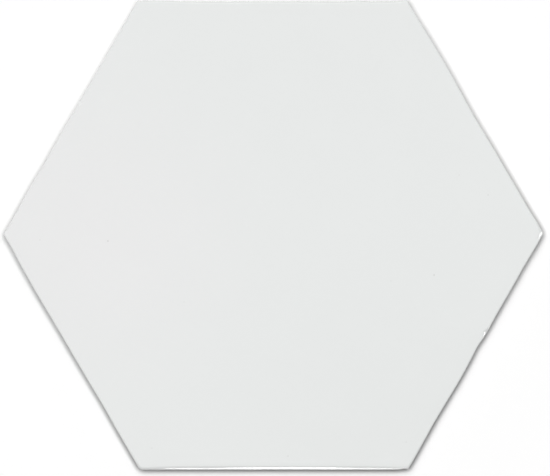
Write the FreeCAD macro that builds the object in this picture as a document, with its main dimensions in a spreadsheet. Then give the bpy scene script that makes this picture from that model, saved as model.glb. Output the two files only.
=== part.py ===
"""A hexagon floor tile, dry pressed and fired in one piece, with a white glaze on its face.

The tile lies flat on its back, face up. The origin is the centre of the back, on the plane
that its ribs rest on. +Z points out of the glazed face, and two corners point along X.

From the back to the face, the piece has:
- a honeycomb of shallow cells pressed into the back, which the adhesive keys into;
- a small chamfer round the back edge;
- an upright band round the wall, at the full size, where the next tile's joint is measured;
- a slight draft above that band, so that the pressed tile leaves its die;
- a rolled edge round the face, where the glaze turns over.
"""

import FreeCAD, Part
import math
import os

import Sketcher

SIDES = 6
CORNER_STEP = 360 / SIDES

# Driving dimensions, in millimetres unless the name says otherwise.
SIZES = [
    ("across_flats", 175.0, "Full width of the tile between two opposite sides"),
    ("tile_thickness", 9.0, "From the rib tops of the back to the glazed face"),
    ("corner_radius", 2.0, "Round of the six upright corners"),
    ("face_roll_radius", 1.2, "Round where the face turns into the wall"),
    ("draft_inset", 0.25, "How far the drafted part of the wall leans in"),
    ("draft_height", 4.5, "How far the draft reaches down from the face"),
    ("back_chamfer", 0.8, "Chamfer round the back edge"),
    ("back_rim", 7.0, "Plain border between the tile's side and the nearest cell"),
    ("rib_width", 2.4, "Width of a rib between two cells, at its foot"),
    ("cell_depth", 0.8, "Depth of the cells pressed into the back"),
    ("cell_draft_angle", 25.0, "Lean of the cell walls, in degrees"),
    ("cells_along_side", 7, "Cells along one side of the honeycomb"),
]

# The distance between neighbouring cells that fills the back up to its rim.
# A row of cells lies half of root three of this below the next one.
CELL_PITCH = (
    "((Sizes.across_flats / 2 - Sizes.back_rim + Sizes.rib_width / sqrt(3))"
    " / ((Sizes.cells_along_side - 1) * sqrt(3) / 2 + 1 / sqrt(3)))"
)


def add_sizes(doc):
    """The sheet of driving dimensions, one per row: name, value, meaning."""
    sheet = doc.addObject("Spreadsheet::Sheet", "Sizes")
    for row, (alias, value, meaning) in enumerate(SIZES, start=1):
        sheet.set(f"A{row}", alias)
        sheet.set(f"B{row}", str(value))
        sheet.set(f"C{row}", meaning)
        sheet.setAlias(f"B{row}", alias)
    doc.recompute()
    return sheet


def origin_plane(body, role):
    """One of the body's own origin planes, such as XY_Plane."""
    return next(f for f in body.Origin.OriginFeatures if f.Role == role)


def flat_sketch(body, name):
    """An empty sketch on the plane of the tile's back."""
    sketch = body.newObject("Sketcher::SketchObject", name)
    sketch.AttachmentSupport = [(origin_plane(body, "XY_Plane"), "")]
    sketch.MapMode = "FlatFace"
    return sketch


def polar(radius, degrees, centre=(0.0, 0.0)):
    """The point at that distance and direction from the centre."""
    turn = math.radians(degrees)
    return FreeCAD.Vector(centre[0] + radius * math.cos(turn), centre[1] + radius * math.sin(turn), 0)


def draw_guide_circle(sketch, centre, across_flats, bound_to):
    """A construction circle that the six sides of a hexagon touch. Returns its number in the sketch."""
    middle = FreeCAD.Vector(centre[0], centre[1], 0)
    circle = sketch.addGeometry(Part.Circle(middle, FreeCAD.Vector(0, 0, 1), across_flats / 2), True)
    named = sketch.addConstraint(Sketcher.Constraint("Diameter", circle, across_flats))
    sketch.renameConstraint(named, "across_flats")
    sketch.setExpression("Constraints.across_flats", bound_to)
    return circle


def hold_six_sides(sketch, sides, circle, first_side):
    """Keeps six lines on the guide circle, each turned by a sixth of a turn from the last."""
    sketch.addConstraint([Sketcher.Constraint("Tangent", side, circle) for side in sides])
    sketch.addConstraint(Sketcher.Constraint(first_side, sides[0]))
    inner_angle = math.radians(180 - CORNER_STEP)
    for side, following in zip(sides[:-2], sides[1:]):
        sketch.addConstraint(Sketcher.Constraint("Angle", following, 1, side, 2, inner_angle))
    sketch.addConstraint(Sketcher.Constraint("Parallel", sides[-1], sides[2]))


def draw_outline(sheet, sketch):
    """The tile's outline: six sides with rounded corners, and the first side along the top."""
    apothem = sheet.across_flats / 2
    radius = sheet.corner_radius
    circle = draw_guide_circle(sketch, (0, 0), sheet.across_flats, "Sizes.across_flats")
    sketch.addConstraint(Sketcher.Constraint("Coincident", circle, 3, -1, 1))

    inset = radius * math.tan(math.radians(CORNER_STEP / 2))
    half_side = apothem * math.tan(math.radians(CORNER_STEP / 2)) - inset
    sides, arcs = [], []
    for step in range(SIDES):
        facing = 90 + step * CORNER_STEP
        foot = polar(apothem, facing)
        along = polar(1, facing + 90)
        side = Part.LineSegment(foot - along * half_side, foot + along * half_side)
        sides.append(sketch.addGeometry(side))
    for step in range(SIDES):
        facing = 90 + step * CORNER_STEP
        centre = polar((apothem - radius) / math.cos(math.radians(CORNER_STEP / 2)), facing + CORNER_STEP / 2)
        full = Part.Circle(centre, FreeCAD.Vector(0, 0, 1), radius)
        start, end = math.radians(facing), math.radians(facing + CORNER_STEP)
        arcs.append(sketch.addGeometry(Part.ArcOfCircle(full, start, end)))

    for step in range(SIDES):
        sketch.addConstraint(Sketcher.Constraint("Tangent", sides[step], 2, arcs[step], 1))
        sketch.addConstraint(Sketcher.Constraint("Tangent", arcs[step], 2, sides[(step + 1) % SIDES], 1))
    hold_six_sides(sketch, sides, circle, "Horizontal")
    sketch.addConstraint([Sketcher.Constraint("Equal", arcs[0], arc) for arc in arcs[1:]])
    named = sketch.addConstraint(Sketcher.Constraint("Radius", arcs[0], radius))
    sketch.renameConstraint(named, "corner_radius")
    sketch.setExpression("Constraints.corner_radius", "Sizes.corner_radius")


def draw_cell(sketch, pitch, rib, shifted):
    """The mouth of one honeycomb cell, on the tile's centre or one pitch along X from it."""
    across = pitch - rib
    centre = (pitch if shifted else 0.0, 0.0)
    circle = draw_guide_circle(sketch, centre, across, f"{CELL_PITCH} - Sizes.rib_width")
    if shifted:
        sketch.addConstraint(Sketcher.Constraint("PointOnObject", circle, 3, -1))
        named = sketch.addConstraint(Sketcher.Constraint("DistanceX", -1, 1, circle, 3, pitch))
        sketch.renameConstraint(named, "cell_pitch")
        sketch.setExpression("Constraints.cell_pitch", CELL_PITCH)
    else:
        sketch.addConstraint(Sketcher.Constraint("Coincident", circle, 3, -1, 1))

    corner = across / 2 / math.cos(math.radians(CORNER_STEP / 2))
    sides = []
    for step in range(SIDES):
        facing = step * CORNER_STEP
        start = polar(corner, facing - CORNER_STEP / 2, centre)
        end = polar(corner, facing + CORNER_STEP / 2, centre)
        sides.append(sketch.addGeometry(Part.LineSegment(start, end)))
    for step in range(SIDES):
        joined = (sides[step], 2, sides[(step + 1) % SIDES], 1)
        sketch.addConstraint(Sketcher.Constraint("Coincident", *joined))
    hold_six_sides(sketch, sides, circle, "Vertical")


def edges_at(feature, height):
    """Names of the feature's edges that lie wholly at that height."""
    names = []
    for number, edge in enumerate(feature.Shape.Edges, start=1):
        box = edge.BoundBox
        if abs(box.ZMin - height) < 1e-6 and abs(box.ZMax - height) < 1e-6:
            names.append(f"Edge{number}")
    return names


def press_blank(doc, sheet, body):
    """The tile's plain prism, at its full size from back to face."""
    outline = flat_sketch(body, "Outline")
    draw_outline(sheet, outline)
    blank = body.newObject("PartDesign::Pad", "Blank")
    blank.Profile = outline
    blank.setExpression("Length", "Sizes.tile_thickness")
    doc.recompute()
    return blank


def draft_wall(doc, sheet, body, blank):
    """Leans the upper part of the wall in, down to the upright band."""
    draft = body.newObject("PartDesign::Chamfer", "WallDraft")
    draft.Base = (blank, edges_at(blank, sheet.tile_thickness))
    draft.ChamferType = "Two distances"
    draft.setExpression("Size", "Sizes.draft_height")
    draft.setExpression("Size2", "Sizes.draft_inset")
    doc.recompute()
    return draft


def roll_face_edge(doc, sheet, body, draft):
    """Rounds the face's edge, where the glaze turns over."""
    roll = body.newObject("PartDesign::Fillet", "FaceRoll")
    roll.Base = (draft, edges_at(draft, sheet.tile_thickness))
    roll.setExpression("Radius", "Sizes.face_roll_radius")
    doc.recompute()
    return roll


def chamfer_back_edge(doc, body, roll):
    """Takes the sharp edge off the back."""
    chamfer = body.newObject("PartDesign::Chamfer", "BackChamfer")
    chamfer.Base = (roll, edges_at(roll, 0))
    chamfer.setExpression("Size", "Sizes.back_chamfer")
    doc.recompute()
    return chamfer


def upright_faces_of_back(feature):
    """Names of the feature's upright faces that start at the back, which are a new cell's walls."""
    names = []
    for number, face in enumerate(feature.Shape.Faces, start=1):
        if abs(face.BoundBox.ZMin) < 1e-6 and abs(face.normalAt(0, 0).z) < 1e-6:
            names.append(f"Face{number}")
    return names


def press_cell(doc, sheet, body, name, shifted):
    """One cell of the back's honeycomb, narrower at its floor than at its mouth."""
    pitch = body.evalExpression(CELL_PITCH)
    mouth = flat_sketch(body, f"{name}Mouth")
    draw_cell(mouth, pitch, sheet.rib_width, shifted)
    pocket = body.newObject("PartDesign::Pocket", name)
    pocket.Profile = mouth
    pocket.Reversed = True
    pocket.setExpression("Length", "Sizes.cell_depth")
    doc.recompute()

    walls = body.newObject("PartDesign::Draft", f"{name}Walls")
    walls.Base = (pocket, upright_faces_of_back(pocket))
    walls.NeutralPlane = (origin_plane(body, "XY_Plane"), [""])
    walls.Reversed = True
    walls.SupportTransform = True
    walls.setExpression("Angle", "Sizes.cell_draft_angle")
    doc.recompute()
    return walls


def spread_cells(doc, sheet, body, cell):
    """Repeats the cell over a third of the back, and that third three times round."""
    directions = flat_sketch(body, "CellRows")
    reach = sheet.across_flats / 2
    row = directions.addGeometry(Part.LineSegment(polar(0, 0), polar(reach, 0)), True)
    slant = directions.addGeometry(Part.LineSegment(polar(0, 0), polar(reach, 2 * CORNER_STEP)), True)
    directions.addConstraint(Sketcher.Constraint("Coincident", row, 1, -1, 1))
    directions.addConstraint(Sketcher.Constraint("Coincident", slant, 1, -1, 1))
    directions.addConstraint(Sketcher.Constraint("PointOnObject", row, 2, -1))
    turn = math.radians(2 * CORNER_STEP)
    directions.addConstraint(Sketcher.Constraint("Angle", row, 1, slant, 1, turn))
    for number, line in enumerate((row, slant)):
        named = directions.addConstraint(Sketcher.Constraint("Distance", line, reach))
        directions.renameConstraint(named, f"reach_{number}")
        directions.setExpression(f"Constraints.reach_{number}", "Sizes.across_flats / 2")
    doc.recompute()

    field = body.newObject("PartDesign::MultiTransform", "Honeycomb")
    field.Originals = [cell]
    outwards = body.newObject("PartDesign::LinearPattern", "CellsInARow")
    outwards.Direction = (directions, ["Axis0"])
    outwards.Mode = "Spacing"
    outwards.setExpression("Offset", CELL_PITCH)
    outwards.setExpression("Occurrences", "Sizes.cells_along_side - 1")
    sideways = body.newObject("PartDesign::LinearPattern", "RowsInAThird")
    sideways.Direction = (directions, ["Axis1"])
    sideways.Mode = "Spacing"
    sideways.setExpression("Offset", CELL_PITCH)
    sideways.setExpression("Occurrences", "Sizes.cells_along_side")
    around = body.newObject("PartDesign::PolarPattern", "ThreeThirds")
    around.Axis = (directions, ["N_Axis"])
    around.Angle = 360
    around.Occurrences = 3
    field.Transformations = [outwards, sideways, around]
    body.Tip = field
    doc.recompute()
    return field


def check_document(doc):
    """Stops if any object failed to build."""
    for item in doc.Objects:
        if "Invalid" in item.State or "Error" in item.State:
            raise RuntimeError(f"{item.Label} failed: {item.State}")


def main():
    doc = FreeCAD.newDocument("HexagonTile")
    sheet = add_sizes(doc)
    body = doc.addObject("PartDesign::Body", "Tile")
    body.Label = "tile"
    body.Placement = FreeCAD.Placement()

    blank = press_blank(doc, sheet, body)
    draft = draft_wall(doc, sheet, body, blank)
    roll = roll_face_edge(doc, sheet, body, draft)
    chamfer_back_edge(doc, body, roll)
    press_cell(doc, sheet, body, "CentreCell", shifted=False)
    cell = press_cell(doc, sheet, body, "FirstCell", shifted=True)
    spread_cells(doc, sheet, body, cell)

    check_document(doc)
    shape = body.Shape
    if shape.isNull() or not shape.isValid() or len(shape.Solids) != 1:
        raise RuntimeError("the tile isn't one valid solid")
    os.makedirs("parts", exist_ok=True)
    shape.exportStep(f"parts/{body.Label}.step")
    box = shape.BoundBox
    print(f"{body.Label}: {box.XLength:.2f} x {box.YLength:.2f} x {box.ZLength:.2f} mm, "
          f"{shape.Volume:.0f} cubic mm, {len(shape.Faces)} faces")


main()
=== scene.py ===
# %% [markdown]
# This scene dresses one hexagon floor tile: a slab of pressed clay, fired once with a white
# glaze fused to its face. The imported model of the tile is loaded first, because it fixes the
# size and the place of all that follows. Blender works in metres, so a length in millimetres
# is written as a number times MM.

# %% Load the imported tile
import math

import bmesh
import bpy
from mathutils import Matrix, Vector, noise


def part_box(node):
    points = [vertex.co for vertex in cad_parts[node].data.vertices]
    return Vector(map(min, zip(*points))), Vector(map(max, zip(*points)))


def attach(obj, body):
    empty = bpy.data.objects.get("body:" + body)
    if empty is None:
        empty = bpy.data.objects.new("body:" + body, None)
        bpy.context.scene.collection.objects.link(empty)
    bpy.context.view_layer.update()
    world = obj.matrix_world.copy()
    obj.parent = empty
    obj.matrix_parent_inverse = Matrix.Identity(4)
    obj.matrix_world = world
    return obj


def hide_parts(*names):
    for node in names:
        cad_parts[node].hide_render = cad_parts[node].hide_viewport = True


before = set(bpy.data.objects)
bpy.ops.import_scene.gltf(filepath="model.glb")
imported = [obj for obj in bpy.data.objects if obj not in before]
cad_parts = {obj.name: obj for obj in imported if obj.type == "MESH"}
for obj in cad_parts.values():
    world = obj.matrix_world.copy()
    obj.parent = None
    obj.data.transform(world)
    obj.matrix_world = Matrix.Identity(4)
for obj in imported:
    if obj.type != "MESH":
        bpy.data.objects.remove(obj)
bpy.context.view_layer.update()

MM = 0.001
LOWEST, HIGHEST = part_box("tile")
APOTHEM = (HIGHEST.y - LOWEST.y) / 2
THICKNESS = HIGHEST.z - LOWEST.z
print(f"the tile is {2 * APOTHEM / MM:.1f} mm across its flats and {THICKNESS / MM:.1f} mm thick")

# %% [markdown]
# A camera straight above the tile sees it as the photograph does, so places can be read off the
# photograph. Its frame is 550 by 476 pixels, and the tile's middle lies a little off the middle
# of the frame. The outline that shows is the upper edge of the wall, which leans in a little
# from the widest part lower down.

# %% From a pixel to a place
PHOTO_WIDTH, PHOTO_HEIGHT = 550, 476
FLATS_IN_PIXELS = 469.2
TILE_MIDDLE_PIXEL = (273.1, 235.4)
WALL_LEAN = 0.18 * MM
PIXEL = 2 * (APOTHEM - WALL_LEAN) / FLATS_IN_PIXELS


def from_pixel(x, y, height=0.0):
    """The place above which a pixel of the photograph lies, at a height over the floor."""
    return Vector(((x - TILE_MIDDLE_PIXEL[0]) * PIXEL, (TILE_MIDDLE_PIXEL[1] - y) * PIXEL, height))


def direction(degrees):
    """The flat direction at that angle, anticlockwise from +X."""
    turn = math.radians(degrees)
    return Vector((math.cos(turn), math.sin(turn), 0))


print(f"a pixel is {PIXEL / MM:.4f} mm")

# %% [markdown]
# A tile that left a kiln is never quite regular. Its corners sit a hair off their places, and
# some are rounder than others: the lower left one the most, the lower right one hardly. Each
# corner below has its pixel in the photograph and its radius in millimetres. They go
# clockwise, as the camera sees them.

# %% The six corners
CORNERS = {
    "upper_left": {"pixel": (137.0, 1.8), "round": 1.0},
    "upper_right": {"pixel": (408.4, 1.8), "round": 0.9},
    "right": {"pixel": (543.0, 233.7), "round": 1.0},
    "lower_right": {"pixel": (407.6, 469.5), "round": 0.7},
    "lower_left": {"pixel": (139.8, 469.5), "round": 2.2},
    "left": {"pixel": (3.1, 234.8), "round": 1.1},
}
widest = APOTHEM / (APOTHEM - WALL_LEAN)
places = {name: from_pixel(*corner["pixel"]) * widest for name, corner in CORNERS.items()}
across = (places["right"] - places["left"]).length
print(f"from the left corner to the right one it is {across / MM:.1f} mm, before they are rounded")

# %% [markdown]
# No side is dead straight either. The glaze gathers into low swells along the edge, so the
# outline wanders by a few tenths of a millimetre. A swell is its place along the side, counted
# from the side's first corner, then how far it stands out, then its width, in millimetres. The
# edge is rolled more widely along the bottom, where it catches the light. It is also softer
# at two spots of the lower right side, which are given in the same way.

# %% The six sides
SIDES = {
    "top": {"from": "upper_left", "to": "upper_right", "roll": 0.7,
            "swells": [(5, 0.4, 9), (50, 0.04, 16), (82.5, 0.35, 2.2), (100, 0.35, 3)]},
    "upper_right": {"from": "upper_right", "to": "right", "roll": 0.6,
                    "swells": [(4, -0.17, 8), (26, 0.26, 14), (50, -0.2, 10), (96, 0.2, 4)]},
    "lower_right": {"from": "right", "to": "lower_right", "roll": 0.5,
                    "softer": [(0.3, 1.6, 2.0), (42.6, 1.0, 1.5)],
                    "swells": [(5, 0.08, 4), (15, -0.08, 6), (43, 0.12, 4), (49, -0.27, 3.2),
                               (63, 0.2, 7), (81, -0.14, 6), (97, 0.12, 5)]},
    "bottom": {"from": "lower_right", "to": "lower_left", "roll": 1.4,
               "swells": [(1.2, -0.35, 1.4), (50, -0.03, 30)]},
    "lower_left": {"from": "lower_left", "to": "left", "roll": 0.6,
                   "swells": [(28, -0.15, 8), (52, 0.05, 6), (75, 0.21, 13), (96.5, -0.28, 5)]},
    "upper_left": {"from": "left", "to": "upper_left", "roll": 0.7,
                   "swells": [(4, -0.14, 6), (22, 0.15, 7), (31, -0.12, 4), (45, 0.15, 8)]},
}


def side_line(side):
    """The first corner of a side, the direction along it, its length and the way out of it."""
    first, last = places[SIDES[side]["from"]], places[SIDES[side]["to"]]
    along = (last - first).normalized()
    return first, along, (last - first).length, Vector((-along.y, along.x, 0))


def standing_out(side, point):
    """How far a point lies outside the straight line of a side."""
    first, _, _, outwards = side_line(side)
    return (point - first).to_2d().dot(outwards.to_2d())


for side in SIDES:
    print(f"the {side} side is {side_line(side)[2] / MM:.1f} mm long")

# %% [markdown]
# Every edit below picks its vertices, edges or faces in code, as a hand would click them, and
# then calls Blender's own operators. Small helpers do that: one opens an object for editing
# with nothing else selected, one picks what passes a test, and one joins a piece to the tile.
# Two heights or lengths that differ by less than CLOSE count as the same.

# %% Helpers for editing as by hand
CLOSE = 0.01 * MM
SIXTH = math.radians(60)


def open_for_edit(piece, mode):
    """Makes the piece the only selected object and opens it in edit mode with nothing picked."""
    if bpy.context.object and bpy.context.object.mode == "EDIT":
        bpy.ops.object.mode_set(mode="OBJECT")
    bpy.ops.object.select_all(action="DESELECT")
    piece.select_set(True)
    bpy.context.view_layer.objects.active = piece
    bpy.ops.object.mode_set(mode="EDIT")
    bpy.ops.mesh.select_mode(type=mode)
    bpy.ops.mesh.select_all(action="DESELECT")


def close_edit():
    """Goes back to object mode."""
    bpy.ops.object.mode_set(mode="OBJECT")


def pick(piece, kind, test):
    """Picks the verts, edges or faces that pass the test, and returns how many there are."""
    bpy.ops.mesh.select_all(action="DESELECT")
    mesh = bmesh.from_edit_mesh(piece.data)
    found = [item for item in getattr(mesh, kind) if test(item)]
    for item in found:
        item.select_set(True)
    mesh.select_flush(True)
    bmesh.update_edit_mesh(piece.data)
    return len(found)


def middle(item):
    """The middle of an edge or a face."""
    points = [vert.co for vert in item.verts]
    return sum(points, Vector()) / len(points)


def join_to_tile(piece):
    """Joins a piece to the tile."""
    bpy.ops.object.select_all(action="DESELECT")
    piece.select_set(True)
    tile.select_set(True)
    bpy.context.view_layer.objects.active = tile
    bpy.ops.object.join()


def corner_reach(apothem):
    """How far the corners of a regular hexagon lie from its middle."""
    return apothem / math.cos(SIXTH / 2)


# %% [markdown]
# The outline starts as a six sided circle. Its corners are moved to their places, and each is
# rounded by a bevel of its own radius. At a corner of 120 degrees, a round of radius r starts
# r times tan 30 away from it. The sides are then cut into short edges, so that the swells
# have something to bend.

# %% Draw the outline
CORNER_CUTS = 8
SIDE_CUTS = 96

bpy.ops.object.select_all(action="DESELECT")
bpy.ops.mesh.primitive_circle_add(
    vertices=6, radius=corner_reach(APOTHEM), fill_type="NGON", rotation=(0, 0, SIXTH / 2))
tile = bpy.context.object
tile.name = "glazed_tile"
bpy.ops.object.transform_apply(location=False, rotation=True, scale=False)

open_for_edit(tile, "VERT")
for place in places.values():
    start = min(bmesh.from_edit_mesh(tile.data).verts, key=lambda vert: (vert.co - place).length)
    step = place - start.co
    pick(tile, "verts", lambda vert: (vert.co + step - place).length < CLOSE)
    bpy.ops.transform.translate(value=step)
for name, place in places.items():
    pick(tile, "verts", lambda vert: (vert.co - place).length < MM)
    start = CORNERS[name]["round"] * MM * math.tan(SIXTH / 2)
    bpy.ops.mesh.bevel(offset=start, segments=CORNER_CUTS, affect="VERTICES")
bpy.ops.mesh.select_mode(type="EDGE")
pick(tile, "edges", lambda edge: edge.calc_length() > APOTHEM / 2)
bpy.ops.mesh.subdivide(number_cuts=SIDE_CUTS - 1)
close_edit()
print(f"the outline has {len(tile.data.vertices)} points")

# %% [markdown]
# The swells are moves too small and too many for the hand, so a formula makes them: each is a
# bell curve that pushes the outline in or out, square to its side. The widest point of the
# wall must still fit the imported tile's box.

# %% Bend the sides
def swell_at(side, point, what="swells"):
    """How far a side stands out at a point, or how much softer it is there."""
    first, along, _, _ = side_line(side)
    place = (point - first).to_2d().dot(along.to_2d()) / MM
    bells = SIDES[side].get(what, [])
    return sum(out * math.exp(-((place - at) / width) ** 2) for at, out, width in bells) * MM


for vert in tile.data.vertices:
    side = max(SIDES, key=lambda name: standing_out(name, vert.co))
    vert.co += side_line(side)[3] * swell_at(side, vert.co)
    vert.co.y = max(LOWEST.y, min(HIGHEST.y, vert.co.y))
print("the outline now spans", [round(size / MM, 2) for size in (*tile.dimensions,)])

# %% [markdown]
# From the side, the wall of a pressed tile rises in steps. A small chamfer takes the sharp
# edge off the back. An upright band above it is the tile's full width, and the rest leans
# in a little so that the tile leaves its die. Near the top the glaze begins with a thin lip,
# and the edge turns over into the face in a roll. Each step is a ring: the face is
# extruded up and then scaled about the middle, which moves all six sides in together.

# %% Raise the wall and roll the edge
BACK_CHAMFER = 0.8 * MM
BAND_TOP = 4.5 * MM
DRAFT_INSET = 0.25 * MM
GLAZE_LINE = 5.9 * MM
GLAZE_THICKNESS = 0.07 * MM
LIP_RISE = 1.2 * GLAZE_THICKNESS
ROLL_DROP = 1.25 * MM
ROLL_STEPS = 16
COMMON_ROLL = 1.2 * MM
ROLL_FOOT = THICKNESS - ROLL_DROP


def draft_at(height):
    """How far the leaning part of the wall has moved in at that height."""
    return DRAFT_INSET * (height - BAND_TOP) / (THICKNESS - BAND_TOP)


def roll_share(height, power=2.0):
    """The share of its width that a roll has gone in at a height: power 2 is round, 1 a bevel."""
    return 1 - max(0, 1 - ((height - ROLL_FOOT) / ROLL_DROP) ** power) ** (1 / power)


lip_foot = (draft_at(GLAZE_LINE), GLAZE_LINE)
lip_top = (draft_at(GLAZE_LINE) - GLAZE_THICKNESS, GLAZE_LINE + LIP_RISE)
under_roll = (draft_at(ROLL_FOOT) - GLAZE_THICKNESS, ROLL_FOOT)
profile = [(BACK_CHAMFER, 0), (0, BACK_CHAMFER), (0, BAND_TOP), lip_foot, lip_top, under_roll]
for step in range(1, ROLL_STEPS + 1):
    height = ROLL_FOOT + ROLL_DROP * math.sin(math.pi / 2 * step / ROLL_STEPS)
    profile.append((under_roll[0] + COMMON_ROLL * roll_share(height), height))

open_for_edit(tile, "FACE")
bpy.ops.mesh.select_all(action="SELECT")
start = (APOTHEM - profile[0][0]) / APOTHEM
bpy.ops.transform.resize(value=(start, start, 1), center_override=(0, 0, 0))
for (inset, height), (next_inset, next_height) in zip(profile, profile[1:]):
    rise = (0, 0, next_height - height)
    bpy.ops.mesh.extrude_region_move(TRANSFORM_OT_translate={"value": rise})
    shrink = (APOTHEM - next_inset) / (APOTHEM - inset)
    bpy.ops.transform.resize(value=(shrink, shrink, 1), center_override=(0, 0, 0))
bpy.ops.mesh.delete(type="ONLY_FACE")
pick(tile, "faces", lambda part: middle(part).z < CLOSE)
bpy.ops.mesh.delete(type="ONLY_FACE")
close_edit()
print(f"the wall and the roll have {len(tile.data.polygons)} faces in {len(profile)} rings")

# %% [markdown]
# The roll isn't equally wide all round, and the glaze line isn't level, because the glaze ran
# down the wall a little before it froze. Both are small pushes on the rings: the roll's rings
# go in or out by their side's own width, and the rings of the lip go up and down by a slow
# noise with a few longer runs in it. A narrow roll is round. A wide one is nearer to a soft
# bevel, so that it mirrors one low light over much of its width.

# %% Vary the roll and the glaze line
ROLL_BLEND = 4 * MM
ROUND_WIDTH = 0.7 * MM
BEVEL_WIDTH = 1.4 * MM
BEVEL_POWER = 1.15
LINE_WANDER = 0.45 * MM
QUIVER_SHARE = 0.3
RUN_LENGTH = 1.1 * MM
RUN_START = 0.28
SLOW, FAST, OF_RUNS = 60, 400, 170


def roll_width(point):
    """The width of the roll at a point, blended from one side to the next near a corner."""
    nearness = {side: math.exp(standing_out(side, point) / ROLL_BLEND) for side in SIDES}
    total = sum(nearness.values())
    widths = {side: SIDES[side]["roll"] * MM + swell_at(side, point, "softer") for side in SIDES}
    return sum(widths[side] * share for side, share in nearness.items()) / total


def roll_power(width):
    """The power of a roll of that width: 2 when it is narrow, and less when it is wide."""
    widening = max(0, width - ROUND_WIDTH) / (BEVEL_WIDTH - ROUND_WIDTH)
    return max(BEVEL_POWER, 2 - (2 - BEVEL_POWER) * widening)


def glaze_run(point):
    """How far the glaze line lies above or below its usual height at a point of the wall."""
    slow = noise.noise(point * SLOW)
    fast = noise.noise(point * FAST + Vector((7, 3, 0)))
    run = max(0, noise.noise(point * OF_RUNS + Vector((0, 11, 5))) - RUN_START)
    return LINE_WANDER * (slow + QUIVER_SHARE * fast) - RUN_LENGTH * run


line_low, line_high = GLAZE_LINE, GLAZE_LINE
for vert in tile.data.vertices:
    flat = Vector((vert.co.x, vert.co.y, 0))
    if vert.co.z > ROLL_FOOT:
        width = roll_width(flat)
        inset = width * roll_share(vert.co.z, roll_power(width))
        vert.co -= flat * (inset - COMMON_ROLL * roll_share(vert.co.z)) / APOTHEM
    elif GLAZE_LINE - CLOSE < vert.co.z < GLAZE_LINE + 2 * GLAZE_THICKNESS:
        vert.co.z += glaze_run(flat)
        line_low, line_high = min(line_low, vert.co.z), max(line_high, vert.co.z)
print(f"the glaze ends between {line_low / MM:.1f} and {line_high / MM:.1f} mm above the back")

# %% [markdown]
# The flat of the face needs a fine, even net, because the glaze on it is never truly flat. A
# hexagon of six triangles, each cut again and again, is the most even net that there is. It
# has as many edges along a side as the top ring of the roll, so the two can be bridged edge
# to edge.

# %% Fill the face
FACE_GAP = 1.4 * MM
face_apothem = APOTHEM - under_roll[0] - COMMON_ROLL - FACE_GAP

bpy.ops.object.select_all(action="DESELECT")
bpy.ops.mesh.primitive_circle_add(
    vertices=6, radius=corner_reach(face_apothem), fill_type="TRIFAN",
    location=(0, 0, THICKNESS), rotation=(0, 0, SIXTH / 2))
face = bpy.context.object
bpy.ops.object.transform_apply(location=True, rotation=True, scale=False)
open_for_edit(face, "FACE")
bpy.ops.mesh.select_all(action="SELECT")
bpy.ops.mesh.subdivide(number_cuts=SIDE_CUTS + CORNER_CUTS - 1)
close_edit()

join_to_tile(face)
open_for_edit(tile, "EDGE")
pick(tile, "edges", lambda edge: edge.is_boundary and middle(edge).z > THICKNESS - 0.05 * MM)
bpy.ops.mesh.bridge_edge_loops()
close_edit()
print(f"with its face the tile has {len(tile.data.polygons)} faces")

# %% [markdown]
# The melted glaze froze in very low, broad waves, and it sinks away a hair towards the edge. The
# waves are a few hundredths of a millimetre high and only show where something is mirrored
# at a low angle, so a slow noise with a finer one in it moves the points of the face down by
# that much.

# %% Let the glaze undulate
WAVE_DEPTH = 0.05 * MM
WAVE_LENGTH = 34 * MM
WAVE_LEVEL = 0.6
RIPPLE_SHARE = 0.4
RIPPLES_TO_A_WAVE = 2.7
SHOULDER_DROP = 0.04 * MM
SHOULDER_WIDTH = 2.0 * MM
NEAR_FACE = THICKNESS - 0.3 * MM

for vert in tile.data.vertices:
    if vert.co.z > ROLL_FOOT:
        ripple = noise.noise(vert.co / WAVE_LENGTH * RIPPLES_TO_A_WAVE)
        wave = noise.noise(vert.co / WAVE_LENGTH) + RIPPLE_SHARE * ripple
        inside = -max(standing_out(side, vert.co) for side in SIDES)
        shoulder = math.exp(-max(0, inside - COMMON_ROLL) / SHOULDER_WIDTH)
        sinking = SHOULDER_DROP * shoulder * (vert.co.z - ROLL_FOOT) / ROLL_DROP
        vert.co.z -= WAVE_DEPTH * max(0, WAVE_LEVEL + wave) * (1 - shoulder) + sinking
face_heights = [vert.co.z for vert in tile.data.vertices if vert.co.z > NEAR_FACE]
print(f"the face lies between {min(face_heights) / MM:.2f} and {max(face_heights) / MM:.2f} mm")

# %% [markdown]
# The back is pressed with a honeycomb of shallow cells, for the adhesive to key into. One
# cell is modelled as a hexagon that reaches to the middle of its ribs. It is inset to
# the cell's mouth, its corners are rounded, and it is inset again and pushed up to the floor
# of the cell. Bevels then soften both edges, as a worn die leaves them. The back faces down,
# so the hexagon is flipped first, and a negative depth is then upwards.

# %% Model one cell of the back
BACK_RIM = 7.0 * MM
RIB_WIDTH = 2.4 * MM
CELL_DEPTH = 0.8 * MM
CELL_LEAN = math.radians(25)
CELLS_ALONG_SIDE = 7
CELL_CORNER = 0.7 * MM
CELL_SOFTNESS = 0.2 * MM

rows_out = CELLS_ALONG_SIDE - 1
row_height = math.sqrt(3) / 2
pitches_out = rows_out * row_height + 1 / math.sqrt(3)
CELL_PITCH = (APOTHEM - BACK_RIM + RIB_WIDTH / math.sqrt(3)) / pitches_out

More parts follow.
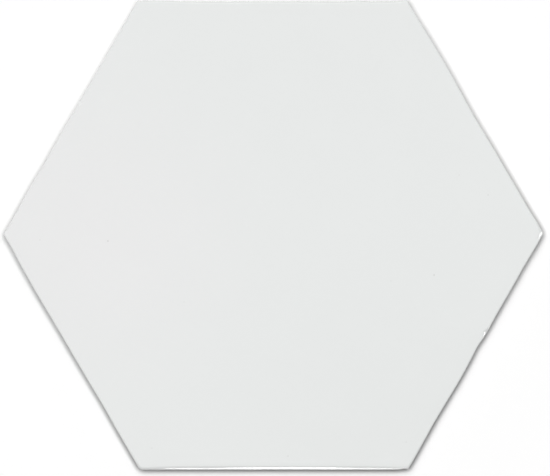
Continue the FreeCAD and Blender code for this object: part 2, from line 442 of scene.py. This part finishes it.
bpy.ops.object.select_all(action="DESELECT")
bpy.ops.mesh.primitive_circle_add(vertices=6, radius=CELL_PITCH / math.sqrt(3), fill_type="NGON")
cell = bpy.context.object
open_for_edit(cell, "FACE")
bpy.ops.mesh.select_all(action="SELECT")
bpy.ops.mesh.flip_normals()
bpy.ops.mesh.inset(thickness=RIB_WIDTH / 2, depth=0)
mouth = corner_reach((CELL_PITCH - RIB_WIDTH) / 2)
bpy.ops.mesh.select_mode(type="VERT")
pick(cell, "verts", lambda vert: vert.co.length < mouth + CLOSE)
bpy.ops.mesh.bevel(offset=CELL_CORNER, segments=2, affect="VERTICES")
bpy.ops.mesh.select_mode(type="FACE")
pick(cell, "faces", lambda spot: spot.calc_center_median().length < MM)
bpy.ops.mesh.inset(thickness=CELL_DEPTH * math.tan(CELL_LEAN), depth=-CELL_DEPTH)
bpy.ops.mesh.select_mode(type="EDGE")


def on_mouth_or_floor(edge):
    """True for an edge that runs level round the mouth or the floor of the cell."""
    first, last = (vert.co for vert in edge.verts)
    level = abs(first.z - last.z) < CLOSE
    return level and max(first.to_2d().length, last.to_2d().length) < mouth + CLOSE


softened = pick(cell, "edges", on_mouth_or_floor)
bpy.ops.mesh.bevel(offset=CELL_SOFTNESS, segments=2, affect="EDGES")
close_edit()
print(f"one cell has {len(cell.data.polygons)} faces, and {softened} of its edges were softened")

# %% [markdown]
# The cell is copied to every place of a hexagon shaped lattice, each copy with a mesh of its
# own, and the copies are joined and welded along the middle of their ribs.

# %% Spread the cells over the back
def lattice_places():
    """The middle of each cell, row by row."""
    for row in range(-rows_out, rows_out + 1):
        in_row = 2 * rows_out + 1 - abs(row)
        for number in range(in_row):
            yield ((number - (in_row - 1) / 2) * CELL_PITCH, row * CELL_PITCH * row_height)


bpy.ops.object.select_all(action="DESELECT")
for x, y in lattice_places():
    copied = cell.copy()
    copied.data = cell.data.copy()
    copied.location = (x, y, 0)
    bpy.context.collection.objects.link(copied)
    copied.select_set(True)
bpy.data.objects.remove(cell)
bpy.context.view_layer.objects.active = copied
cell_count = len(bpy.context.selected_objects)
bpy.ops.object.join()
honeycomb = bpy.context.object
bpy.ops.object.transform_apply(location=True, rotation=False, scale=False)
open_for_edit(honeycomb, "VERT")
bpy.ops.mesh.select_all(action="SELECT")
bpy.ops.mesh.remove_doubles(threshold=2 * CLOSE)
close_edit()
print(f"{cell_count} cells were welded into one honeycomb")

# %% [markdown]
# The honeycomb and the wall still have a gap between them: the plain rim of the back. Both
# loops lie flat on the ground, so one fill closes it. The whole tile is then one closed skin,
# and its normals are made to point outwards. Faces that meet at a small angle are shaded as
# one smooth surface.

# %% Close the back
SMOOTH_BELOW = math.radians(35)

join_to_tile(honeycomb)
open_for_edit(tile, "EDGE")
rim_edges = pick(tile, "edges", lambda edge: edge.is_boundary)
bpy.ops.mesh.fill(use_beauty=True)
bpy.ops.mesh.select_all(action="SELECT")
bpy.ops.mesh.normals_make_consistent(inside=False)
open_edges = pick(tile, "edges", lambda edge: not edge.is_manifold)
close_edit()
bpy.ops.object.select_all(action="DESELECT")
tile.select_set(True)
bpy.ops.object.shade_smooth_by_angle(angle=SMOOTH_BELOW)
triangles = sum(len(part.vertices) - 2 for part in tile.data.polygons)
print(f"{rim_edges} edges bound the rim, and {open_edges} edges are left open")
print(f"the tile has {triangles} triangles")

# %% [markdown]
# A material is a small net of nodes. The helper below adds one node, sets its options, and
# gives each of its inputs a value or a link, so that a net reads from top to bottom. The next
# one starts a node group with named inputs and outputs, for an effect that is used again.

# %% Helpers for materials
def add_node(tree, kind, inputs=None, **options):
    """Adds a node with its options, and sets or links the inputs that are named."""
    node = tree.nodes.new(kind)
    for name, value in options.items():
        setattr(node, name, value)
    for name, value in (inputs or {}).items():
        if isinstance(value, bpy.types.NodeSocket):
            tree.links.new(value, node.inputs[name])
        else:
            node.inputs[name].default_value = value
    return node


def new_group(name, inputs, output):
    """Starts a node group, and returns its tree, the sockets that it reads and its way out."""
    group = bpy.data.node_groups.new(name, "ShaderNodeTree")
    for label, kind in inputs.items():
        group.interface.new_socket(name=label, in_out="INPUT", socket_type=kind)
    group.interface.new_socket(name=output, in_out="OUTPUT", socket_type="NodeSocketFloat")
    way_in = group.nodes.new("NodeGroupInput").outputs
    way_out = group.nodes.new("NodeGroupOutput").inputs[output]
    return group, way_in, way_out


def use_group(tree, group, **inputs):
    """Places a node group in a material and returns its only output."""
    named = {name.replace("_", " "): value for name, value in inputs.items()}
    return add_node(tree, "ShaderNodeGroup", named, node_tree=group).outputs[0]


def arithmetic(tree, operation, first, second=0.0, third=0.0):
    """One step of arithmetic on one, two or three values."""
    node = add_node(tree, "ShaderNodeMath", operation=operation)
    for socket, value in zip(node.inputs, (first, second, third)):
        if isinstance(value, bpy.types.NodeSocket):
            tree.links.new(value, socket)
        else:
            socket.default_value = value
    return node.outputs[0]


def blend_colours(tree, share, first, second):
    """Goes from the first colour to the second as the share goes from 0 to 1."""
    node = add_node(tree, "ShaderNodeMix", {"Factor": share}, data_type="RGBA")
    for socket, value in ((node.inputs[6], first), (node.inputs[7], second)):
        if isinstance(value, bpy.types.NodeSocket):
            tree.links.new(value, socket)
        else:
            socket.default_value = (*value, 1)
    return node.outputs[2]


# %% [markdown]
# Three effects are groups, each built once and placed with values of its own. A mottle is a
# slow, cloudy change, as of a glaze that lies thicker here and thinner there. The glaze and the
# clay both use it, at several sizes. Specks are small dots strewn about, as of iron in the
# clay. A patch is one soft round spot at a place of its own: a large one is a painted pool of
# light or of shade on the glaze, and a tiny one a pinhole, where a bubble burst in the kiln.

# %% The mottle group
PLACE_KIND, NUMBER_KIND = "NodeSocketVector", "NodeSocketFloat"

mottle, reads, mottle_out = new_group(
    "mottle", {"Vector": PLACE_KIND, "Size": NUMBER_KIND, "Detail": NUMBER_KIND}, "Mask")
fineness = arithmetic(mottle, "DIVIDE", 1.0, reads["Size"])
clouds = add_node(mottle, "ShaderNodeTexNoise", {
    "Vector": reads["Vector"], "Scale": fineness, "Detail": reads["Detail"], "Roughness": 0.55})
spread = add_node(mottle, "ShaderNodeMapRange", {
    "Value": clouds.outputs["Fac"], "From Min": 0.3, "From Max": 0.7},
    interpolation_type="SMOOTHSTEP")
mottle.links.new(spread.outputs["Result"], mottle_out)

# %% The specks group
specks, reads, specks_out = new_group(
    "specks", {"Vector": PLACE_KIND, "Spacing": NUMBER_KIND, "Radius": NUMBER_KIND,
               "Share": NUMBER_KIND}, "Mask")
fineness = arithmetic(specks, "DIVIDE", 1.0, reads["Spacing"])
dots = add_node(specks, "ShaderNodeTexVoronoi", {"Vector": reads["Vector"], "Scale": fineness})
chance = add_node(specks, "ShaderNodeSeparateColor", {"Color": dots.outputs["Color"]})
growth = arithmetic(specks, "ADD", chance.outputs["Green"], 0.4)
radius = arithmetic(specks, "MULTIPLY", reads["Radius"], growth)
distance = arithmetic(specks, "MULTIPLY", dots.outputs["Distance"], reads["Spacing"])
nearness = arithmetic(specks, "SUBTRACT", 1.0, arithmetic(specks, "DIVIDE", distance, radius))
present = arithmetic(specks, "LESS_THAN", chance.outputs["Red"], reads["Share"])
soft_dot = add_node(specks, "ShaderNodeMapRange", {
    "Value": arithmetic(specks, "MULTIPLY", nearness, present), "From Max": 0.5})
specks.links.new(soft_dot.outputs["Result"], specks_out)

# %% The patch group
patch, reads, patch_out = new_group(
    "patch", {"Vector": PLACE_KIND, "Place": PLACE_KIND, "Radius": NUMBER_KIND}, "Mask")
away = add_node(patch, "ShaderNodeVectorMath", {0: reads["Vector"], 1: reads["Place"]},
                operation="DISTANCE")
fading = add_node(patch, "ShaderNodeMapRange", {
    "Value": away.outputs["Value"], "From Max": reads["Radius"], "To Min": 1.0, "To Max": 0.0},
    interpolation_type="SMOOTHSTEP")
patch.links.new(fading.outputs["Result"], patch_out)
print("node groups:", [group.name for group in bpy.data.node_groups])

# %% [markdown]
# The glaze is a glassy white, faintly cool. Left of the middle it is painted lighter and neutral,
# a painted pool of light, and towards the lower right a touch darker, painted shade where the
# light falls off. A few pinholes are dark dots with a dent, and their dark grey is painted shade
# in the tiny pits. Its surface is as smooth as glass, apart from a dimpled skin that is called
# orange peel, and its polish changes a little from place to place.

# %% The white glaze
COOL_WHITE = (0.792, 0.807, 0.8)
NEUTRAL_WHITE = (0.812, 0.812, 0.812)
SHADED_WHITE = (0.769, 0.785, 0.777)
GLAZE_OVER_CLAY = (0.757, 0.756, 0.742)
# Painted light and shade: a lighter, neutral pool left of the middle, and darker glaze towards the
# lower right.
LIGHT_POOL = {"pixel": (85, 228), "radius": 85 * MM}
SHADE_POOL = {"pixel": (430, 560), "radius": 140 * MM}
CLOUD_SHARE = 0.12
CLAY_SHOWS_BELOW, CLAY_SHOWS_ABOVE = 0.5 * MM, 1.2 * MM
# The pinholes' dark grey is painted shade in the tiny pits; their dent is only in the bump.
PINHOLE_SHADE_GREY = (0.42, 0.42, 0.41)
PINHOLE_DENT = 12.0
PINHOLE_LEVEL = THICKNESS - 0.03 * MM
PINHOLES = [
    {"pixel": (108, 241), "radius": 0.32 * MM}, {"pixel": (434, 275), "radius": 0.32 * MM},
    {"pixel": (488, 195), "radius": 0.24 * MM}, {"pixel": (288, 456), "radius": 0.24 * MM},
    {"pixel": (40, 240), "radius": 0.2 * MM}, {"pixel": (391, 281), "radius": 0.2 * MM},
    {"pixel": (184, 302), "radius": 0.2 * MM}, {"pixel": (152, 448), "radius": 0.2 * MM},
    {"pixel": (406, 442), "radius": 0.22 * MM}, {"pixel": (459, 175), "radius": 0.2 * MM},
]

glaze = bpy.data.materials.new("white_glaze")
glaze.use_nodes = True
tree = glaze.node_tree
spot = add_node(tree, "ShaderNodeTexCoord").outputs["Object"]
height = add_node(tree, "ShaderNodeSeparateXYZ", {"Vector": spot}).outputs["Z"]


def patch_on_glaze(what, level=THICKNESS):
    """The mask of a painted pool of light or of shade, or of a pinhole, from its pixel and its
    radius.
    """
    place = from_pixel(*what["pixel"], level)
    return use_group(glaze.node_tree, patch, Vector=spot, Place=place, Radius=what["radius"])


# Painted light and shade in the glaze colour, with cloudy tone mixed into the darker side.
painted_light = patch_on_glaze(LIGHT_POOL)
shade_and_clouds = patch_on_glaze(SHADE_POOL)
clouds = use_group(tree, mottle, Vector=spot, Size=50 * MM, Detail=2.0)
shade_and_clouds = arithmetic(tree, "MULTIPLY_ADD", clouds, CLOUD_SHARE, shade_and_clouds)
colour = blend_colours(tree, painted_light, COOL_WHITE, NEUTRAL_WHITE)
colour = blend_colours(tree, shade_and_clouds, colour, SHADED_WHITE)

low_glaze = add_node(tree, "ShaderNodeMapRange", {
    "Value": height, "From Min": GLAZE_LINE - CLAY_SHOWS_BELOW,
    "From Max": GLAZE_LINE + CLAY_SHOWS_ABOVE, "To Min": 0.8, "To Max": 0.0}).outputs["Result"]
colour = blend_colours(tree, low_glaze, colour, GLAZE_OVER_CLAY)

holes = 0.0
for pinhole in PINHOLES:
    holes = arithmetic(tree, "MAXIMUM", patch_on_glaze(pinhole, PINHOLE_LEVEL), holes)
# Painted shade: the pinholes darken the glaze colour.
colour = blend_colours(tree, holes, colour, PINHOLE_SHADE_GREY)

peel = use_group(tree, mottle, Vector=spot, Size=1.6 * MM, Detail=0.0)
rubbed = use_group(tree, mottle, Vector=spot, Size=12 * MM, Detail=3.0)
polish = add_node(tree, "ShaderNodeMapRange", {"Value": rubbed, "To Min": 0.05, "To Max": 0.1})
relief = arithmetic(tree, "MULTIPLY_ADD", holes, -PINHOLE_DENT, peel)
dimples = add_node(tree, "ShaderNodeBump", {
    "Height": relief, "Distance": 0.002 * MM, "Strength": 1.0})

shader = tree.nodes["Principled BSDF"]
tree.links.new(colour, shader.inputs["Base Color"])
tree.links.new(polish.outputs["Result"], shader.inputs["Roughness"])
tree.links.new(dimples.outputs["Normal"], shader.inputs["Normal"])
print(f"the glaze has {len(PINHOLES)} pinholes and {len(tree.nodes)} nodes")

# %% [markdown]
# Under the glaze line the bare clay shows: fired hard, pale, warm beside the white, matt and a
# little grainy. It holds a few specks of iron. On the back, a thin white powder clings to the
# ribs and the rim. It is the wash that keeps a tile from sticking in the kiln. Faint bands
# cross it where the tile rode on the kiln's rollers.

# %% The bare clay
CLAY = (0.58, 0.577, 0.56)
CLAY_PALE = (0.655, 0.652, 0.637)
CLAY_IRON = (0.27, 0.2, 0.14)
KILN_WASH = (0.74, 0.735, 0.72)
ROLLER_BAND = (0.5, 0.48, 0.45)
ROLLER_SPACING = 48 * MM
ROLLER_WOBBLE = 0.16
ROLLER_SHARPNESS = 60.0
ROLLER_SHARE = 0.45
WASH_SHARE = 0.85
LUMP_HEIGHT, SPECK_DENT = 1.6, 1.5

clay = bpy.data.materials.new("bare_clay")
clay.use_nodes = True
tree = clay.node_tree
spot = add_node(tree, "ShaderNodeTexCoord").outputs["Object"]
across = add_node(tree, "ShaderNodeSeparateXYZ", {"Vector": spot})
height = across.outputs["Z"]

clouds = use_group(tree, mottle, Vector=spot, Size=22 * MM, Detail=5.0)
colour = blend_colours(tree, clouds, CLAY, CLAY_PALE)

on_ribs = add_node(tree, "ShaderNodeMapRange", {
    "Value": height, "From Min": 0.05 * MM, "From Max": 0.5 * MM,
    "To Min": 1.0, "To Max": 0.0}).outputs["Result"]
powder = use_group(tree, mottle, Vector=spot, Size=6 * MM, Detail=6.0)
wash = arithmetic(tree, "MULTIPLY", arithmetic(tree, "MULTIPLY", powder, on_ribs), WASH_SHARE)
colour = blend_colours(tree, wash, colour, KILN_WASH)

turns = arithmetic(tree, "MULTIPLY", across.outputs["Y"], math.pi / ROLLER_SPACING)
wobble = arithmetic(tree, "MULTIPLY_ADD", clouds, ROLLER_WOBBLE, turns)
stripe = arithmetic(tree, "ABSOLUTE", arithmetic(tree, "COSINE", wobble))
stripe = arithmetic(tree, "POWER", stripe, ROLLER_SHARPNESS)
roller = arithmetic(tree, "MULTIPLY", arithmetic(tree, "MULTIPLY", stripe, on_ribs), ROLLER_SHARE)
colour = blend_colours(tree, roller, colour, ROLLER_BAND)

iron = use_group(tree, specks, Vector=spot, Spacing=3.5 * MM, Radius=0.22 * MM, Share=0.35)
colour = blend_colours(tree, iron, colour, CLAY_IRON)

grain = use_group(tree, mottle, Vector=spot, Size=0.5 * MM, Detail=3.0)
lumps = use_group(tree, mottle, Vector=spot, Size=3 * MM, Detail=2.0)
relief = arithmetic(tree, "MULTIPLY_ADD", lumps, LUMP_HEIGHT, grain)
relief = arithmetic(tree, "MULTIPLY_ADD", iron, -SPECK_DENT, relief)
grainy = add_node(tree, "ShaderNodeBump", {
    "Height": relief, "Distance": 0.03 * MM, "Strength": 1.0})
dryness = add_node(tree, "ShaderNodeMapRange", {"Value": clouds, "To Min": 0.82, "To Max": 0.94})

shader = tree.nodes["Principled BSDF"]
tree.links.new(colour, shader.inputs["Base Color"])
tree.links.new(dryness.outputs["Result"], shader.inputs["Roughness"])
tree.links.new(grainy.outputs["Normal"], shader.inputs["Normal"])
shader.inputs["Specular IOR Level"].default_value = 0.3

# %% [markdown]
# Both materials go on the one skin of the tile. The clay takes every face at first, and what
# lies above the foot of the glaze's lip gets the glaze. The lip itself is the ring of
# faces that look steeply down just under the edge of the glaze, so its foot is found by the
# same formula that made it wander.

# %% Lay the materials on the tile
tile.data.materials.append(clay)
tile.data.materials.append(glaze)
open_for_edit(tile, "FACE")
glazed = pick(tile, "faces", lambda part: middle(part).z > (
    GLAZE_LINE + glaze_run(middle(part).to_2d().to_3d())))
tile.active_material_index = 1
bpy.ops.object.material_slot_assign()
close_edit()
print(f"{glazed} faces are glazed, and {len(tile.data.polygons) - glazed} are bare clay")

# %% [markdown]
# The lens is long, so that the face hides almost nothing of the floor beside it. The camera
# hangs so high that the upper edge of the wall measures the right number of pixels.

# %% Camera
LENS = 500
SENSOR = 36

camera_data = bpy.data.cameras.new("camera")
camera_data.lens = LENS
camera_data.sensor_width = SENSOR
camera = bpy.data.objects.new("camera", camera_data)
bpy.context.scene.collection.objects.link(camera)
camera_height = ROLL_FOOT + PHOTO_WIDTH * PIXEL * LENS / SENSOR
camera.location = from_pixel(PHOTO_WIDTH / 2, PHOTO_HEIGHT / 2, camera_height)
bpy.context.scene.camera = camera
print(f"the camera hangs {camera.location.z:.2f} m up")

# %% [markdown]
# The floor is a plain pale sheet, with a hole under the tile that is a little smaller than the
# tile's foot, so that the back can be looked at from below as well. To the camera the sheet is
# pure white where it is lit, and it darkens in the tile's shadow. To light that bounces it is
# a soft grey, or the shadow would fill up with light from the floor around it. Within two
# millimetres of the tile, where it is shut off from the room, a painted shade also darkens its
# colour, the more the further round it lies from the sun. The sheet's underside is left clear.

# %% Floor
FLOOR_REACH = 3.0
HOLE_MARGIN = BACK_CHAMFER + 0.3 * MM
FLOOR_WHITE = 1.0
FLOOR_PALE = 0.7
SHUT_OFF_REACH = 2 * MM
SHUT_OFF_SHADE = 0.78
SUNNY_SIDE_SPARED = 0.8
SUN_FROM = 106

bpy.ops.object.select_all(action="DESELECT")
hole_radius = corner_reach(APOTHEM - HOLE_MARGIN)
bpy.ops.mesh.primitive_circle_add(
    vertices=6, radius=hole_radius, fill_type="NOTHING", rotation=(0, 0, SIXTH / 2))
floor = bpy.context.object
floor.name = "floor"
bpy.ops.object.transform_apply(location=False, rotation=True, scale=False)
open_for_edit(floor, "EDGE")
bpy.ops.mesh.select_all(action="SELECT")
bpy.ops.mesh.extrude_region_move(TRANSFORM_OT_translate={"value": (0, 0, 0)})
growth = FLOOR_REACH / hole_radius
bpy.ops.transform.resize(value=(growth, growth, 1), center_override=(0, 0, 0))
bpy.ops.mesh.select_all(action="SELECT")
bpy.ops.mesh.normals_make_consistent(inside=False)
close_edit()
if floor.data.polygons[0].normal.z < 0:
    floor.data.flip_normals()

floor_material = bpy.data.materials.new("white_floor")
floor_material.use_nodes = True
tree = floor_material.node_tree
shader = tree.nodes["Principled BSDF"]
shader.inputs["Roughness"].default_value = 0.9
shader.inputs["Specular IOR Level"].default_value = 0.0
rays = add_node(tree, "ShaderNodeLightPath").outputs
seen = arithmetic(tree, "MAXIMUM", rays["Is Camera Ray"], rays["Is Glossy Ray"])
colour = blend_colours(tree, seen, (FLOOR_PALE,) * 3, (FLOOR_WHITE,) * 3)
# Painted shade: near the tile the floor's colour darkens, most on the side away from the sun.
around = add_node(tree, "ShaderNodeAmbientOcclusion", {"Distance": SHUT_OFF_REACH})
spot = add_node(tree, "ShaderNodeTexCoord").outputs["Object"]
way = add_node(tree, "ShaderNodeVectorMath", {0: spot}, operation="NORMALIZE").outputs["Vector"]
sunward = add_node(tree, "ShaderNodeVectorMath", {0: way, 1: direction(SUN_FROM)},
                   operation="DOT_PRODUCT").outputs["Value"]
far_side = arithmetic(tree, "MULTIPLY_ADD", sunward, -SUNNY_SIDE_SPARED, 1.0)
closed = arithmetic(tree, "SUBTRACT", 1.0, around.outputs["AO"])
shut_off = arithmetic(tree, "MULTIPLY", closed, far_side)
painted_shade = arithmetic(tree, "MULTIPLY", shut_off, SHUT_OFF_SHADE)
colour = blend_colours(tree, painted_shade, colour, (0, 0, 0))
tree.links.new(colour, shader.inputs["Base Color"])
under = add_node(tree, "ShaderNodeNewGeometry").outputs["Backfacing"]
clear = add_node(tree, "ShaderNodeBsdfTransparent")
surface = add_node(tree, "ShaderNodeMixShader", {
    0: under, 1: shader.outputs["BSDF"], 2: clear.outputs["BSDF"]})
tree.links.new(surface.outputs["Shader"], tree.nodes["Material Output"].inputs["Surface"])
floor.data.materials.append(floor_material)

# %% [markdown]
# The room is a pale, even world, white to the camera and in reflections. One broad sun stands
# high, off the top of the picture and a little to the left, so the shadow is short and falls
# towards the bottom. The glaze doesn't mirror it, as it doesn't in the photograph.

# %% World and sun
ROOM_LIGHT = 0.28
SUN_LIGHT = 0.71
SUN_HEIGHT = 82
SUN_SPREAD = 32

world = bpy.data.worlds.new("pale_room")
bpy.context.scene.world = world
world.use_nodes = True
tree = world.node_tree
rays = add_node(tree, "ShaderNodeLightPath").outputs
seen = arithmetic(tree, "MAXIMUM", rays["Is Camera Ray"], rays["Is Glossy Ray"])
brightness = add_node(tree, "ShaderNodeMapRange", {
    "Value": seen, "To Min": ROOM_LIGHT, "To Max": 1.0})
background = tree.nodes["Background"]
background.inputs["Color"].default_value = (1, 1, 1, 1)
tree.links.new(brightness.outputs["Result"], background.inputs["Strength"])


def add_lamp(name, kind, place, target, **settings):
    """Adds a lamp at a place, pointed at its target, with its settings."""
    lamp_data = bpy.data.lights.new(name, kind)
    for setting, value in settings.items():
        setattr(lamp_data, setting, value)
    lamp = bpy.data.objects.new(name, lamp_data)
    bpy.context.scene.collection.objects.link(lamp)
    lamp.location = place
    lamp.rotation_euler = (Vector(target) - Vector(place)).to_track_quat("-Z", "Y").to_euler()
    lamp.visible_camera = False
    return lamp


def add_sun(name, degrees, height, energy, spread):
    """Adds a sun that no glaze mirrors. Its flat direction, height and spread are in degrees."""
    rise = math.radians(height)
    place = direction(degrees) * math.cos(rise) + Vector((0, 0, math.sin(rise)))
    lamp = add_lamp(name, "SUN", place, (0, 0, 0), energy=energy, angle=math.radians(spread))
    lamp.visible_glossy = False


sun_energy = SUN_LIGHT * math.pi / math.sin(math.radians(SUN_HEIGHT))
add_sun("high_sun", SUN_FROM, SUN_HEIGHT, sun_energy, SUN_SPREAD)

# %% [markdown]
# A faint light also comes in almost level from the same side, as from a window. It only grazes
# the floor and the face, so it lightens little more than the edges that look that way.

# %% A low window
WINDOW_LIGHT = 0.16
WINDOW_FROM = 105
WINDOW_HEIGHT = 4
WINDOW_SPREAD = 15

add_sun("window", WINDOW_FROM, WINDOW_HEIGHT, WINDOW_LIGHT * math.pi, WINDOW_SPREAD)

# %% [markdown]
# The back lies in the dark, so one more lamp stands below the floor for looking at it from
# there. It shines in from one side, to bring out the shallow cells. It reaches the back through
# the hole in the floor, and everywhere else the floor keeps it out.

# %% Light from below
BELOW_LIGHT = 3.2
BELOW_FROM = 150
BELOW_HEIGHT = -36.87
BELOW_SPREAD = 25

add_sun("low_lamp", BELOW_FROM, BELOW_HEIGHT, BELOW_LIGHT, BELOW_SPREAD)

# %% [markdown]
# A thin white line runs along the bottom edge of the photograph: the rolled edge mirrors a light
# on that side. Near the middle the line is twice as thick, so a second light stands above the
# first. Two small ones give the white flecks on the lower right side, one at the right corner
# and one further down. Each is a lamp that only mirrors see. The camera's rays spread as they
# go down and go on spreading after the mirror, so a lamp is a little wider than its line. It
# stands close to the edge and hardly higher than the face, and its beam is narrow, or the face
# would mirror it as well when it is looked at from low down on the other side.

# %% Lights mirrored in the rolled edge
GLINT_AWAY = 8 * MM
GLINT_BEAM = math.radians(48)


def add_glint(name, side, along_side, elevations, strength, shape="ELLIPSE", turn=0):
    """Stands a lamp where a stretch of a side's roll mirrors it, from and to in millimetres."""
    first, along, _, outwards = side_line(side)
    facing = outwards * math.cos(math.radians(turn)) - along * math.sin(math.radians(turn))
    spreading = GLINT_AWAY / camera.location.z
    low, high = (math.radians(angle) for angle in elevations)
    tilt = (low + high) / 2
    ends = [first + along * place * MM for place in along_side]
    centre = (ends[0] + ends[1]) / 2
    shift = spreading * (centre - camera.location).dot(along)
    target = centre + along * shift + Vector((0, 0, THICKNESS))
    place = target + (facing * math.cos(tilt) + Vector((0, 0, math.sin(tilt)))) * GLINT_AWAY
    width = (ends[1] - ends[0]).length * (1 + spreading)
    tall = 2 * GLINT_AWAY * math.tan((high - low) / 2)
    area = width * tall * (math.pi / 4 if shape == "ELLIPSE" else 1)
    lamp = add_lamp(name, "AREA", place, target, shape=shape, size=width, size_y=tall,
                    spread=GLINT_BEAM, energy=strength * math.pi * area)
    lamp.visible_diffuse = False


add_glint("bottom_glint", "bottom", (0, 90), (-12, 1), 0.8, "RECTANGLE")
add_glint("middle_glint", "bottom", (21.5, 69), (-2, 11), 0.9)
add_glint("corner_glint", "lower_right", (-3.5, 4), (-8, 16), 1.4, turn=24)
add_glint("soft_spot_glint", "lower_right", (40.5, 42.7), (-18, 8), 1.3)

# %% [markdown]
# The view transform is Standard, so that a colour shows as it is written. The mesh then takes
# the imported tile's place: it rides on the part's only body, and the imported mesh is hidden.

# %% Finish
bpy.context.scene.view_settings.view_transform = "Standard"
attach(tile, "root")
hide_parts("tile")
